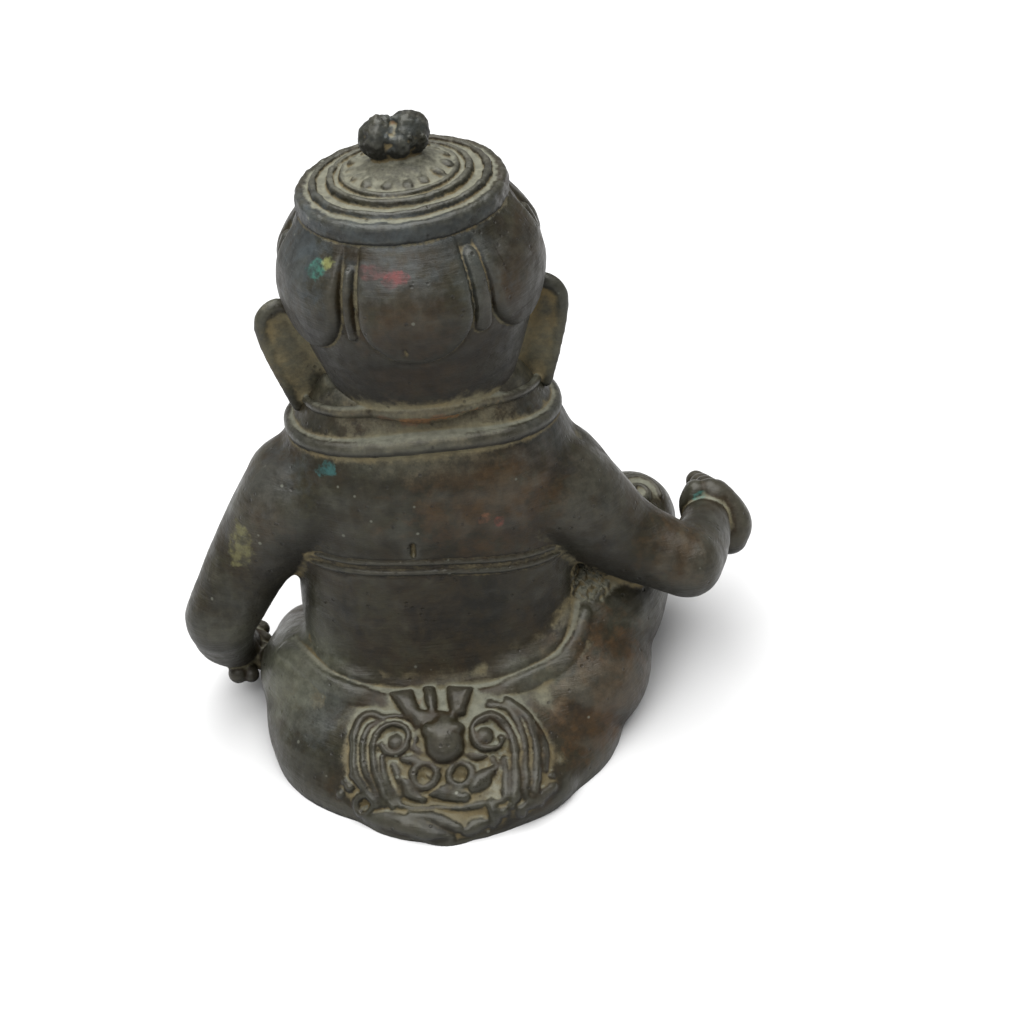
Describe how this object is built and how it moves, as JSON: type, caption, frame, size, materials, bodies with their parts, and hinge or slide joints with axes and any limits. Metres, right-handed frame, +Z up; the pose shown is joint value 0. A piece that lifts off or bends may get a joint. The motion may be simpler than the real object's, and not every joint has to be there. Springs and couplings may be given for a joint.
{
  "type": "guardian figurine",
  "caption": "Seated guardian figure in a round petalled cap, one arm raised, cast in dark bronze, standing on its own flat underside.",
  "frame": {"origin": "middle of the figure's box, on the floor that it sits on", "axes": "+Z up, the figure faces -Y, its left side is towards +X"},
  "size_m": [0.2262, 0.1892, 0.2481],
  "materials": {
    "dark_bronze": "dark olive-brown patinated cast bronze, softly glossy where rubbed, dusty in the hollows"
  },
  "bodies": {
    "root": {"guardian_figure": "dark_bronze"}
  },
  "joints": []
}
